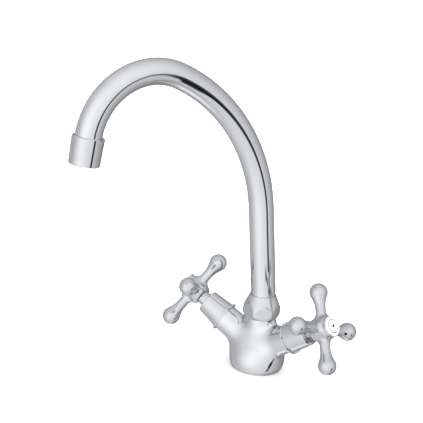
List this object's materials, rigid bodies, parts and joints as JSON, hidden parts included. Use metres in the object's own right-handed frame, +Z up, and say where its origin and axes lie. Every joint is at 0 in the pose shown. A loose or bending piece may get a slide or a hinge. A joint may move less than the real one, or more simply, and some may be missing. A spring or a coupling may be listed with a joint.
{
  "type": "two handle kitchen faucet",
  "caption": "Deck-mounted kitchen mixer tap with a tall swivel arch spout, slanted valve arms and cross handles that turn a quarter turn.",
  "frame": {"origin": "centre of the base face, on the counter, on the spout's swivel axis", "axes": "+Z up, -Y towards the user and the sink, +X to the cold side; at rest the spout is swung 25 degrees from -Y towards -X"},
  "size_m": [0.1797, 0.208, 0.2836],
  "materials": {
    "plated_body": "polished",
    "plated_nut": "polished",
    "plated_trim": "polished",
    "plated_sleeve": "polished",
    "plated_handle": "polished",
    "plated_tube": "polished",
    "plated_outlet": "polished",
    "bare_brass": "satin",
    "rubber_seal": "matte",
    "valve_ceramic": "satin",
    "stainless_spring": "satin",
    "stainless_screw": "satin",
    "slide_plastic": "matte",
    "outlet_plastic": "satin",
    "index_enamel": "gloss"
  },
  "bodies": {
    "mixer": {"mixer_body": "plated_body", "base_seal": "rubber_seal", "spout_nut": "plated_nut", "lower_slide_washer": "slide_plastic", "upper_slide_ring": "slide_plastic", "hot_seat_seal": "rubber_seal", "hot_fixed_disc": "valve_ceramic", "hot_valve_body": "bare_brass", "hot_flange_ring": "plated_trim", "hot_sleeve": "plated_sleeve", "cold_seat_seal": "rubber_seal", "cold_fixed_disc": "valve_ceramic", "cold_valve_body": "bare_brass", "cold_flange_ring": "plated_trim", "cold_sleeve": "plated_sleeve"},
    "spout": {"spout_tube": "plated_tube", "spout_ferrule": "bare_brass", "spout_o_ring_lower": "rubber_seal", "spout_o_ring_upper": "rubber_seal", "aerator_housing": "plated_outlet", "aerator_washer": "rubber_seal", "aerator_insert": "slide_plastic", "aerator_screen": "outlet_plastic"},
    "hot_handle": {"hot_moving_disc": "valve_ceramic", "hot_spindle": "bare_brass", "hot_spindle_o_ring": "rubber_seal", "hot_spindle_clip": "stainless_spring", "hot_cross_handle": "plated_handle", "hot_handle_screw": "stainless_screw", "hot_index_bezel": "plated_trim", "hot_index_button": "index_enamel"},
    "cold_handle": {"cold_moving_disc": "valve_ceramic", "cold_spindle": "bare_brass", "cold_spindle_o_ring": "rubber_seal", "cold_spindle_clip": "stainless_spring", "cold_cross_handle": "plated_handle", "cold_handle_screw": "stainless_screw", "cold_index_bezel": "plated_trim", "cold_index_button": "index_enamel"}
  },
  "joints": [
    {"name": "spout_swivel", "type": "hinge", "parent": "mixer", "child": "spout", "pos_m": [0, 0, 0.0578], "axis": [0, 0, 1], "continuous": true},
    {"name": "hot_handle_turn", "type": "hinge", "parent": "mixer", "child": "hot_handle", "pos_m": [0, 0, 0.0183], "axis": [-0.8564, -0.1097, 0.5045], "range_deg": [0, 90]},
    {"name": "cold_handle_turn", "type": "hinge", "parent": "mixer", "child": "cold_handle", "pos_m": [0, 0, 0.0183], "axis": [0.8564, -0.1097, 0.5045], "range_deg": [-90, 0]}
  ]
}
